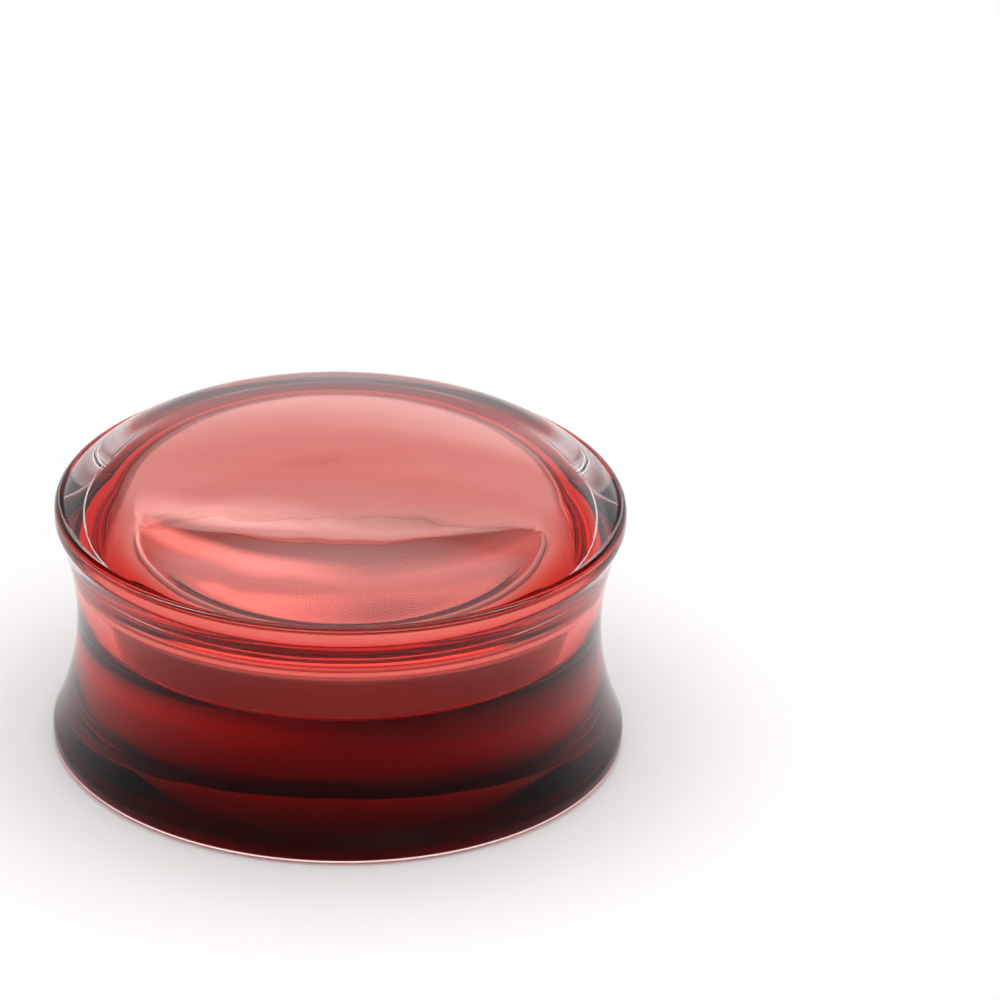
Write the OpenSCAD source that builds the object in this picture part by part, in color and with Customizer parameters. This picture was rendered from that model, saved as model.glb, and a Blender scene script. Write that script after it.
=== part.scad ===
// Double-flared plug for a stretched earlobe: a clear sleeve closed by a domed front
// window and a flat back window, half filled with red liquid under an air pocket.
// It stands on its flat back face. The origin is the centre of that face, and +Z runs
// along the plug's axis to the middle of the dome. All lengths are in millimetres.

/* [Sleeve] */
// Diameter of the waist, which is the size that such a plug is sold by
waist_d = 25; // [19:0.5:38]
// How far each flare stands out from the waist
flare_rise = 1.1; // [0.6:0.05:1.8]
// Distance between the widest levels of the two flares
flare_gap = 11.65; // [9:0.05:16]
// Height of the straight band beside each lip
lip_band = 0.4; // [0.1:0.05:0.8]
// Radius that rounds the edge of each lip
lip_r = 0.4; // [0.2:0.05:0.8]
// Thickness of the sleeve's wall at the waist
wall = 1.5; // [1:0.1:4]

/* [Windows] */
// Height of the dome above the sleeve's front rim
dome_h = 2.85; // [2.3:0.05:4]
// Radius of the round shoulder between the dome's cap and its edge
shoulder_r = 5.1; // [3:0.1:6]
// Slope of the dome where it meets the rim, in degrees
edge_slope = 46; // [35:1:50]
// How far the front window reaches down into the bore
front_depth = 2.25; // [0.5:0.05:3]
// Thickness of the flat back window
back_t = 2.9; // [1:0.1:3.5]

/* [Liquid] */
// Share of the cavity's height that the liquid fills
fill = 0.48; // [0.1:0.02:0.9]

/* [Fit] */
// Gap left between neighbouring pieces
gap = 0.05; // [0.02:0.01:0.1]

/* [Hidden] */
$fn = 180;

// Radii of the sleeve, the bore and the pieces that sit in it
waist_r = waist_d / 2;
flare_r = waist_r + flare_rise;
rim_r = flare_r - lip_r;
bore_r = waist_r - wall;
inner_r = bore_r - gap;

// Levels above the back face
back_flare_z = lip_r;
front_flare_z = back_flare_z + flare_gap;
mid_z = (back_flare_z + front_flare_z) / 2;
rim_z = front_flare_z + lip_r;
roof_z = rim_z - front_depth;
floor_z = back_t + gap;
level_z = floor_z + fill * (roof_z - floor_z);

// The waist is one arc through its narrowest point and the edges of the two bands
waist_half = flare_gap / 2 - lip_band;
waist_arc_r = (waist_half * waist_half + flare_rise * flare_rise) / (2 * flare_rise);

// The dome is a wide cap that runs smoothly into a tighter shoulder arc. The shoulder
// ends on the rim at edge_slope, and the cap's centre lies on the axis.
shoulder_x = rim_r - shoulder_r * sin(edge_slope);
shoulder_z = rim_z - shoulder_r * cos(edge_slope);
shoulder_drop = dome_h + rim_z - shoulder_z;
cap_r = (pow(shoulder_x, 2) + pow(shoulder_drop, 2) - pow(shoulder_r, 2))
    / (2 * (shoulder_drop - shoulder_r));
cap_z = rim_z + dome_h - cap_r;

// Outline of the sleeve's wall, from the bore outwards
module sleeve_outline() {
    difference() {
        union() {
            translate([bore_r, 0]) square([rim_r - bore_r, rim_z]);
            translate([bore_r, back_flare_z]) square([flare_r - bore_r, flare_gap]);
            for (z = [back_flare_z, front_flare_z])
                translate([rim_r, z]) circle(lip_r);
        }
        translate([waist_r + waist_arc_r, mid_z]) circle(waist_arc_r);
    }
}

// Outline of everything under the cap and the shoulder arc, from the rim upwards
module dome_outline() {
    intersection() {
        translate([0, rim_z + gap]) square([rim_r, dome_h]);
        translate([0, cap_z]) circle(cap_r);
        union() {
            translate([0, rim_z]) square([shoulder_x, dome_h]);
            translate([shoulder_x, shoulder_z]) circle(shoulder_r);
        }
    }
}

// Clear sleeve with a concave waist and a rounded lip at each flare
module shell() {
    color([0.90, 0.91, 0.93, 0.35])
        rotate_extrude() sleeve_outline();
}

// Clear domed window, seated on the front rim with a spigot in the bore
module front_window() {
    color([0.93, 0.90, 0.92, 0.35])
        rotate_extrude() {
            dome_outline();
            translate([0, roof_z]) square([inner_r, rim_z + gap - roof_z]);
        }
}

// Clear flat disc, flush with the sleeve's back rim
module back_window() {
    color([0.88, 0.90, 0.92, 0.35])
        cylinder(r = inner_r, h = back_t);
}

// Red liquid on the back window, with a level surface below the air pocket
module liquid() {
    color([0.62, 0.05, 0.05, 0.85])
        translate([0, 0, floor_z]) cylinder(r = inner_r, h = level_z - floor_z);
}

shell();
front_window();
back_window();
liquid();
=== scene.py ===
import math

import bpy
from mathutils import Matrix, Vector

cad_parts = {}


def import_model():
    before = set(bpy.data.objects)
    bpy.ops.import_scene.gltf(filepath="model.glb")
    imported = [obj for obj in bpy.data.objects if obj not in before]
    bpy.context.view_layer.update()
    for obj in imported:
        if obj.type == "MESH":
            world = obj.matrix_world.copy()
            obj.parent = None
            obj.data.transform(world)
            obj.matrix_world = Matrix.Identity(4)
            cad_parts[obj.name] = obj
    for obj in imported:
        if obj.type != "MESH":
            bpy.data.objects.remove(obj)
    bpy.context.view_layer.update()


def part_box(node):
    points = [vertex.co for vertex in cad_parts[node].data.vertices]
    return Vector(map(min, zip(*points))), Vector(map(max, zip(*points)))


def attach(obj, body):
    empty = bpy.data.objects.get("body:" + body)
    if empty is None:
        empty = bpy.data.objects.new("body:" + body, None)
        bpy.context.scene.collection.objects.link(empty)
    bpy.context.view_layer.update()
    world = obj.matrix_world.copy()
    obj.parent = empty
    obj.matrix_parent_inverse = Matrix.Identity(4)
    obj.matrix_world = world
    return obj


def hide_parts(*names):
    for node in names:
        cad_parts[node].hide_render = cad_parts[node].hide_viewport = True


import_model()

MM = 0.001
RIGHT = math.pi / 2

# The photograph: its side in pixels, the place of the plug's middle in it, its scale there,
# and how the camera stands to the plug
PHOTO_SIDE = 1000
MIDDLE_AT = (338.7, 616.0)
PIXELS_PER_M = 20980.0
ELEVATION = math.radians(27.1)
ROLL = math.radians(0.96)
DISTANCE = 0.78
SENSOR = 36.0

# Refractive indices
ACRYLIC_IOR = 1.49
LIQUID_IOR = 1.485

# Sizes of the clear body that the nodes' boxes don't give
WAIST_R = 12.5 * MM
LIP_R = 0.4 * MM
BAND = 0.4 * MM
SHOULDER_R = 5.1 * MM
EDGE_SLOPE = math.radians(46)
JOINT_GAP = 0.05 * MM
CORNER_R = 0.12 * MM
SEAM_R = 0.03 * MM

# The liquid wets the whole cavity: the film on its roof and its wall, the bubble's round edges,
# and the hair's breadth between the liquid's mesh and the acrylic's
ROOF_FILM = 0.13 * MM
WALL_FILM_HIGH = 0.3 * MM
WALL_FILM_LOW = 0.45 * MM
MENISCUS_R = 0.4 * MM
BUBBLE_TOP_R = 1.5 * MM
CONTACT = 0.005 * MM

# Steps round the axis, and along each stretch of an outline
SEGMENTS = 320
FLAT_STEPS = 12
LIP_STEPS = 12
BAND_STEPS = 2
WAIST_STEPS = 60
SHOULDER_STEPS = 24
CAP_STEPS = 40
CORNER_STEPS = 8
WALL_STEPS = 20
SEAM_STEPS = 8
BUBBLE_FLAT_STEPS = 30
BUBBLE_TOP_STEPS = 16
MENISCUS_STEPS = 20
# The short step between a flat face and its rounded edge
EDGE_STEP = 0.1 * MM
# Points nearer than this are one, and radii below it lie on the axis
SAME_POINT = 1e-8
ON_AXIS = 1e-9
SHARP_ANGLE = math.radians(30)

# The clear body's surfaces, in the order of its materials
SIDE, ON_LIQUID, DOME = 0, 1, 2
# The liquid's surfaces: against the acrylic, and round the air bubble
WETTED, FREE = 0, 1

# Share of the straight-on reflection that each surface keeps. The sides keep far less than the
# dome though both are the same acrylic: painted shade that darkens the sides' reflections
SIDE_REFLECTION_PAINTED_SHADE = 0.15
DOME_REFLECTION = 0.9

# Noise per metre of surface, its finest detail, and how deep or how rough it gets
POLISH_SCALE, POLISH_DETAIL, POLISH_ROUGHNESS = 900.0, 4.0, 0.03
WOBBLE_DETAIL = 1.0
ACRYLIC_WOBBLE = (350.0, 0.012 * MM)
LIQUID_WOBBLE = (260.0, 0.03 * MM)

WHITE = (1, 1, 1, 1)
DYE = (0.91, 0.09, 0.0, 1)
DYE_DENSITY = 2550.0

FLOOR_HALF = 1.5
FLOOR_Z = -0.02 * MM
FLOOR_COLOUR = (0.9, 0.9, 0.9, 1)
FLOOR_ROUGHNESS = 0.7

# The studio's brightness over the horizon: the sine of the height, and a share of the peak
SKY_PEAK = 2.2
SKY = [
    (0.0, 0.38), (0.2, 0.4), (0.27, 0.29), (0.33, 0.25), (0.37, 0.2), (0.515, 0.17),
    (0.57, 0.02), (0.72, 0.02), (0.81, 1.0),
]
# The soft light: its share of the peak, its band of heights, and how far to the right it
# begins and is full
SOFT_LIGHT = 0.42
SOFT_LIGHT_BAND = [(0.17, 0.0), (0.25, 1.0), (0.33, 1.0), (0.41, 0.0)]
SOFT_LIGHT_FROM, SOFT_LIGHT_FULL = -0.15, 0.3

# Light passes many surfaces in the plug, and more where it is thrown back inside
BOUNCES = 22
GLOSSY_BOUNCES = 16
TRANSPARENT_BOUNCES = 64


class Outline:
    """Half section of a turned piece: points (radius, height) and a mark for each stretch."""

    def __init__(self):
        self.points = []
        self.marks = []

    def line(self, points, mark):
        for p in points:
            if self.points and math.dist(p, self.points[-1]) < SAME_POINT:
                continue
            if self.points:
                self.marks.append(mark)
            self.points.append(p)

    def straight(self, end, steps, mark):
        r, z = self.points[-1]
        self.line(
            [(r + (end[0] - r) * i / steps, z + (end[1] - z) * i / steps)
             for i in range(1, steps + 1)], mark)

    def arc(self, centre, radius, start, end, steps, mark):
        angles = [start + (end - start) * i / steps for i in range(steps + 1)]
        self.line(
            [(centre[0] + radius * math.cos(a), centre[1] + radius * math.sin(a))
             for a in angles], mark)


def lathe(name, outlines):
    """Turns outlines about Z into one mesh. Each has its solid on the left of its way."""
    verts, faces, marks = [], [], []
    turn = [2 * math.pi * i / SEGMENTS for i in range(SEGMENTS)]
    for outline in outlines:
        rings = []
        for r, z in outline.points:
            if r < ON_AXIS:
                rings.append([len(verts)] * SEGMENTS)
                verts.append((0.0, 0.0, z))
            else:
                rings.append(list(range(len(verts), len(verts) + SEGMENTS)))
                verts.extend((r * math.cos(a), r * math.sin(a), z) for a in turn)
        for below, above, mark in zip(rings, rings[1:], outline.marks):
            for i in range(SEGMENTS):
                j = (i + 1) % SEGMENTS
                corners = [below[i], below[j], above[j], above[i]]
                faces.append([c for k, c in enumerate(corners) if c != corners[k - 1]])
                marks.append(mark)
    mesh = bpy.data.meshes.new(name)
    mesh.from_pydata(verts, [], faces)
    mesh.update()
    mesh.shade_smooth()
    mesh.set_sharp_from_angle(angle=SHARP_ANGLE)
    piece = bpy.data.objects.new(name, mesh)
    bpy.context.scene.collection.objects.link(piece)
    return piece, marks


def new_material(name):
    material = bpy.data.materials.new(name)
    material.use_nodes = True
    return material, material.node_tree, material.node_tree.nodes["Principled BSDF"]


def clear_material(name, ior):
    """A colourless see-through material."""
    material, tree, shader = new_material(name)
    shader.inputs["Base Color"].default_value = WHITE
    shader.inputs["Transmission Weight"].default_value = 1.0
    shader.inputs["IOR"].default_value = ior
    return material, tree, shader


def noise_of(tree, scale, detail):
    coords = tree.nodes.new("ShaderNodeTexCoord")
    noise = tree.nodes.new("ShaderNodeTexNoise")
    noise.inputs["Scale"].default_value = scale
    noise.inputs["Detail"].default_value = detail
    tree.links.new(coords.outputs["Object"], noise.inputs["Vector"])
    return noise.outputs["Fac"]


def wobble(tree, shader, scale, height):
    """A faint unevenness of the surface."""
    bump = tree.nodes.new("ShaderNodeBump")
    bump.inputs["Distance"].default_value = height
    tree.links.new(noise_of(tree, scale, WOBBLE_DETAIL), bump.inputs["Height"])
    tree.links.new(bump.outputs["Normal"], shader.inputs["Normal"])


def polish(tree, shader):
    """Faint polishing marks, as roughness."""
    rough = tree.nodes.new("ShaderNodeMapRange")
    rough.inputs["To Max"].default_value = POLISH_ROUGHNESS
    tree.links.new(noise_of(tree, POLISH_SCALE, POLISH_DETAIL), rough.inputs["Value"])
    tree.links.new(rough.outputs["Result"], shader.inputs["Roughness"])


def acrylic(name, ior, reflection):
    """Polished acrylic. The tint weakens its straight-on reflection; on the sides this weakening
    is painted shade.
    """
    material, tree, shader = clear_material(name, ior)
    shader.inputs["Specular Tint"].default_value = (reflection, reflection, reflection, 1)
    polish(tree, shader)
    wobble(tree, shader, *ACRYLIC_WOBBLE)
    return material


def red_liquid():
    """Dyed liquid. Its boundary to the acrylic is left to the acrylic's own surface."""
    material, tree, shader = clear_material("red_liquid", LIQUID_IOR)
    shader.inputs["Roughness"].default_value = 0.0
    wobble(tree, shader, *LIQUID_WOBBLE)
    free = tree.nodes.new("ShaderNodeAttribute")
    free.attribute_name = "free_surface"
    clear = tree.nodes.new("ShaderNodeBsdfTransparent")
    either = tree.nodes.new("ShaderNodeMixShader")
    tree.links.new(free.outputs["Fac"], either.inputs["Fac"])
    tree.links.new(clear.outputs["BSDF"], either.inputs[1])
    tree.links.new(shader.outputs["BSDF"], either.inputs[2])
    absorb = tree.nodes.new("ShaderNodeVolumeAbsorption")
    absorb.inputs["Color"].default_value = DYE
    absorb.inputs["Density"].default_value = DYE_DENSITY
    output = tree.nodes["Material Output"]
    tree.links.new(either.outputs["Shader"], output.inputs["Surface"])
    tree.links.new(absorb.outputs["Volume"], output.inputs["Volume"])
    return material


def outside_outline(back_z, flare_r, rim_r, rim_z, top_z):
    """The sleeve's outside and the dome, from the middle of the back face outwards and up."""
    lip_at = flare_r - LIP_R
    mid_z = (back_z + rim_z) / 2
    rise = flare_r - WAIST_R
    half = (rim_z - back_z) / 2 - LIP_R - BAND
    waist_arc = (half * half + rise * rise) / (2 * rise)
    spread = math.asin(half / waist_arc)

    # The dome is a wide cap that runs smoothly into a tighter shoulder
    shoulder = (
        rim_r - SHOULDER_R * math.sin(EDGE_SLOPE),
        rim_z - SHOULDER_R * math.cos(EDGE_SLOPE),
    )
    drop = top_z - shoulder[1]
    cap_r = (shoulder[0] ** 2 + drop ** 2 - SHOULDER_R ** 2) / (2 * (drop - SHOULDER_R))
    cap = (0.0, top_z - cap_r)
    meet = math.atan2(shoulder[1] - cap[1], shoulder[0])

    outside = Outline()
    outside.line([(0.0, back_z)], SIDE)
    outside.straight((lip_at - EDGE_STEP, back_z), FLAT_STEPS, SIDE)
    outside.arc((lip_at, back_z + LIP_R), LIP_R, -RIGHT, 0, LIP_STEPS, SIDE)
    outside.straight((flare_r, back_z + LIP_R + BAND), BAND_STEPS, SIDE)
    outside.arc(
        (WAIST_R + waist_arc, mid_z), waist_arc,
        math.pi + spread, math.pi - spread, WAIST_STEPS, SIDE)
    outside.straight((flare_r, rim_z - LIP_R), BAND_STEPS, SIDE)
    outside.arc((lip_at, rim_z - LIP_R), LIP_R, 0, RIGHT, LIP_STEPS, SIDE)
    outside.arc(shoulder, SHOULDER_R, RIGHT - EDGE_SLOPE, meet, SHOULDER_STEPS, DOME)
    outside.arc(cap, cap_r, meet, RIGHT, CAP_STEPS, DOME)
    return outside


def cavity_outline(bore_r, floor_z, roof_z):
    """The cavity's wall, from the middle of the roof outwards and down."""
    corner_at = bore_r - CORNER_R
    cavity = Outline()
    cavity.line([(0.0, roof_z)], ON_LIQUID)
    cavity.straight((corner_at - EDGE_STEP, roof_z), FLAT_STEPS, ON_LIQUID)
    cavity.arc((corner_at, roof_z - CORNER_R), CORNER_R, RIGHT, 0, CORNER_STEPS, ON_LIQUID)
    cavity.straight((bore_r, floor_z + CORNER_R), WALL_STEPS, ON_LIQUID)
    cavity.arc((corner_at, floor_z + CORNER_R), CORNER_R, 0, -RIGHT, CORNER_STEPS, ON_LIQUID)
    cavity.straight((0.0, floor_z), FLAT_STEPS, ON_LIQUID)
    return cavity


def seam_outline(bore_r, roof_z):
    """A hair-thin line of air, left in the cement at the foot of the window's spigot."""
    centre = (bore_r + SEAM_R + JOINT_GAP, roof_z + SEAM_R + JOINT_GAP)
    seam = Outline()
    seam.arc(centre, SEAM_R, 0, -2 * math.pi, SEAM_STEPS, SIDE)
    return seam


def clear_body():
    """The sleeve and its two windows, cemented into one clear body round the cavity."""
    shell_low, shell_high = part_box("shell")
    front_low, front_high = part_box("front_window")
    back_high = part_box("back_window")[1]
    rim_z, roof_z = shell_high.z, front_low.z
    bore_r, floor_z = back_high.x + JOINT_GAP, back_high.z

    body, marks = lathe("clear_body", [
        outside_outline(shell_low.z, shell_high.x, front_high.x, rim_z, front_high.z),
        cavity_outline(bore_r, floor_z, roof_z),
        seam_outline(bore_r, roof_z),
    ])
    # The sides' acrylic is a shaded copy of the dome's: its reflection is dimmed as painted shade
    body.data.materials.append(acrylic("clear_acrylic", ACRYLIC_IOR, SIDE_REFLECTION_PAINTED_SHADE))
    body.data.materials.append(acrylic("acrylic_on_liquid", ACRYLIC_IOR / LIQUID_IOR, 1.0))
    body.data.materials.append(acrylic("acrylic_dome", ACRYLIC_IOR, DOME_REFLECTION))
    body.data.polygons.foreach_set("material_index", marks)
    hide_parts("shell", "front_window", "back_window")
    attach(body, "root")
    return bore_r, floor_z, roof_z, (shell_low.z + rim_z) / 2


def wetted_outline(wall_r, low_z, high_z):
    """The liquid's outside, from the middle of the floor outwards and up."""
    corner_at = wall_r - CORNER_R
    wetted = Outline()
    wetted.line([(0.0, low_z)], WETTED)
    wetted.straight((corner_at - EDGE_STEP, low_z), FLAT_STEPS, WETTED)
    wetted.arc((corner_at, low_z + CORNER_R), CORNER_R, -RIGHT, 0, CORNER_STEPS, WETTED)
    wetted.straight((wall_r, high_z - CORNER_R), WALL_STEPS, WETTED)
    wetted.arc((corner_at, high_z - CORNER_R), CORNER_R, 0, RIGHT, CORNER_STEPS, WETTED)
    wetted.straight((0.0, high_z), FLAT_STEPS, WETTED)
    return wetted


def bubble_outline(high_r, low_r, level_z, top_z):
    """The air bubble, from the middle of its top outwards and down to the level."""
    bubble = Outline()
    bubble.line([(0.0, top_z)], FREE)
    bubble.straight((high_r - BUBBLE_TOP_R, top_z), BUBBLE_FLAT_STEPS, FREE)
    bubble.arc(
        (high_r - BUBBLE_TOP_R, top_z - BUBBLE_TOP_R), BUBBLE_TOP_R,
        RIGHT, 0, BUBBLE_TOP_STEPS, FREE)
    bubble.straight((low_r, level_z + MENISCUS_R), WALL_STEPS, FREE)
    bubble.arc(
        (low_r - MENISCUS_R, level_z + MENISCUS_R), MENISCUS_R,
        0, -RIGHT, MENISCUS_STEPS, FREE)
    bubble.straight((0.0, level_z), BUBBLE_FLAT_STEPS, FREE)
    return bubble


def liquid_fill(bore_r, floor_z, roof_z):
    """The liquid, with the film that it leaves on the cavity's roof and wall round the bubble."""
    level_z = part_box("liquid")[1].z
    liquid, marks = lathe("liquid_fill", [
        wetted_outline(bore_r - CONTACT, floor_z + CONTACT, roof_z - CONTACT),
        bubble_outline(
            bore_r - WALL_FILM_HIGH, bore_r - WALL_FILM_LOW, level_z, roof_z - ROOF_FILM),
    ])
    mask = liquid.data.attributes.new("free_surface", "FLOAT", "FACE")
    mask.data.foreach_set("value", [float(m) for m in marks])
    liquid.data.materials.append(red_liquid())
    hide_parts("liquid")
    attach(liquid, "root")


def floor():
    mesh = bpy.data.meshes.new("floor")
    s = FLOOR_HALF
    mesh.from_pydata([(-s, -s, 0), (s, -s, 0), (s, s, 0), (-s, s, 0)], [], [(0, 1, 2, 3)])
    ground = bpy.data.objects.new("floor", mesh)
    bpy.context.scene.collection.objects.link(ground)
    ground.location.z = FLOOR_Z
    material, _, shader = new_material("pale_floor")
    shader.inputs["Base Color"].default_value = FLOOR_COLOUR
    shader.inputs["Roughness"].default_value = FLOOR_ROUGHNESS
    mesh.materials.append(material)


def ramp_of(tree, source, stops):
    """Grey values along a source between 0 and 1, as a colour ramp."""
    ramp = tree.nodes.new("ShaderNodeValToRGB")
    tree.links.new(source, ramp.inputs["Fac"])
    ends = ramp.color_ramp.elements
    for stop, (place, value) in zip(ends, (stops[0], stops[-1])):
        stop.position = place
        stop.color = (value, value, value, 1)
    for place, value in stops[1:-1]:
        stop = ends.new(place)
        stop.color = (value, value, value, 1)
    return ramp.outputs["Color"]


def world():
    """A pale studio: a backdrop, a dark gap over it, a bright ceiling, and a soft light far
    on the right."""
    sky = bpy.data.worlds.new("studio")
    bpy.context.scene.world = sky
    sky.use_nodes = True
    tree = sky.node_tree
    coords = tree.nodes.new("ShaderNodeTexCoord")
    split = tree.nodes.new("ShaderNodeSeparateXYZ")
    tree.links.new(coords.outputs["Generated"], split.inputs["Vector"])
    rising = ramp_of(tree, split.outputs["Z"], SKY)
    band = ramp_of(tree, split.outputs["Z"], SOFT_LIGHT_BAND)
    side = tree.nodes.new("ShaderNodeMapRange")
    side.interpolation_type = "SMOOTHSTEP"
    side.inputs["From Min"].default_value = SOFT_LIGHT_FROM
    side.inputs["From Max"].default_value = SOFT_LIGHT_FULL
    tree.links.new(split.outputs["X"], side.inputs["Value"])
    lit = tree.nodes.new("ShaderNodeMath")
    lit.operation = "MULTIPLY"
    tree.links.new(side.outputs["Result"], lit.inputs[0])
    tree.links.new(band, lit.inputs[1])
    total = tree.nodes.new("ShaderNodeMath")
    total.operation = "MULTIPLY_ADD"
    total.inputs[1].default_value = SOFT_LIGHT
    tree.links.new(lit.outputs["Value"], total.inputs[0])
    tree.links.new(rising, total.inputs[2])
    backdrop = tree.nodes["Background"]
    tree.links.new(total.outputs["Value"], backdrop.inputs["Color"])
    backdrop.inputs["Strength"].default_value = SKY_PEAK


def camera(mid_z):
    data = bpy.data.cameras.new("camera")
    data.sensor_width = SENSOR
    data.lens = SENSOR * DISTANCE / (PHOTO_SIDE / PIXELS_PER_M)
    cam = bpy.data.objects.new("camera", data)
    bpy.context.scene.collection.objects.link(cam)
    middle = Vector((0, 0, mid_z))
    back = Vector((0, -math.cos(ELEVATION), math.sin(ELEVATION)))
    up = Vector((0, math.sin(ELEVATION), math.cos(ELEVATION)))
    right = Vector((1, 0, 0))
    # How far the frame's middle lies from the plug's, in the upright plug's own directions
    x = (PHOTO_SIDE / 2 - MIDDLE_AT[0]) / PIXELS_PER_M
    y = (PHOTO_SIDE / 2 - MIDDLE_AT[1]) / PIXELS_PER_M
    aside = x * math.cos(ROLL) + y * math.sin(ROLL)
    above = x * math.sin(ROLL) - y * math.cos(ROLL)
    target = middle + right * aside + up * above
    cam.location = middle + back * DISTANCE
    cam.rotation_mode = "QUATERNION"
    aim = (target - cam.location).to_track_quat("-Z", "Y")
    cam.rotation_quaternion = aim @ Matrix.Rotation(ROLL, 3, "Z").to_quaternion()
    bpy.context.scene.camera = cam


scene = bpy.context.scene
scene.view_settings.view_transform = "Standard"
scene.cycles.max_bounces = BOUNCES
scene.cycles.transmission_bounces = BOUNCES
scene.cycles.glossy_bounces = GLOSSY_BOUNCES
scene.cycles.transparent_max_bounces = TRANSPARENT_BOUNCES
scene.cycles.caustics_refractive = True
scene.cycles.caustics_reflective = True
scene.cycles.blur_glossy = 0.0

bore_radius, floor_level, roof_level, middle_z = clear_body()
liquid_fill(bore_radius, floor_level, roof_level)
floor()
world()
camera(middle_z)
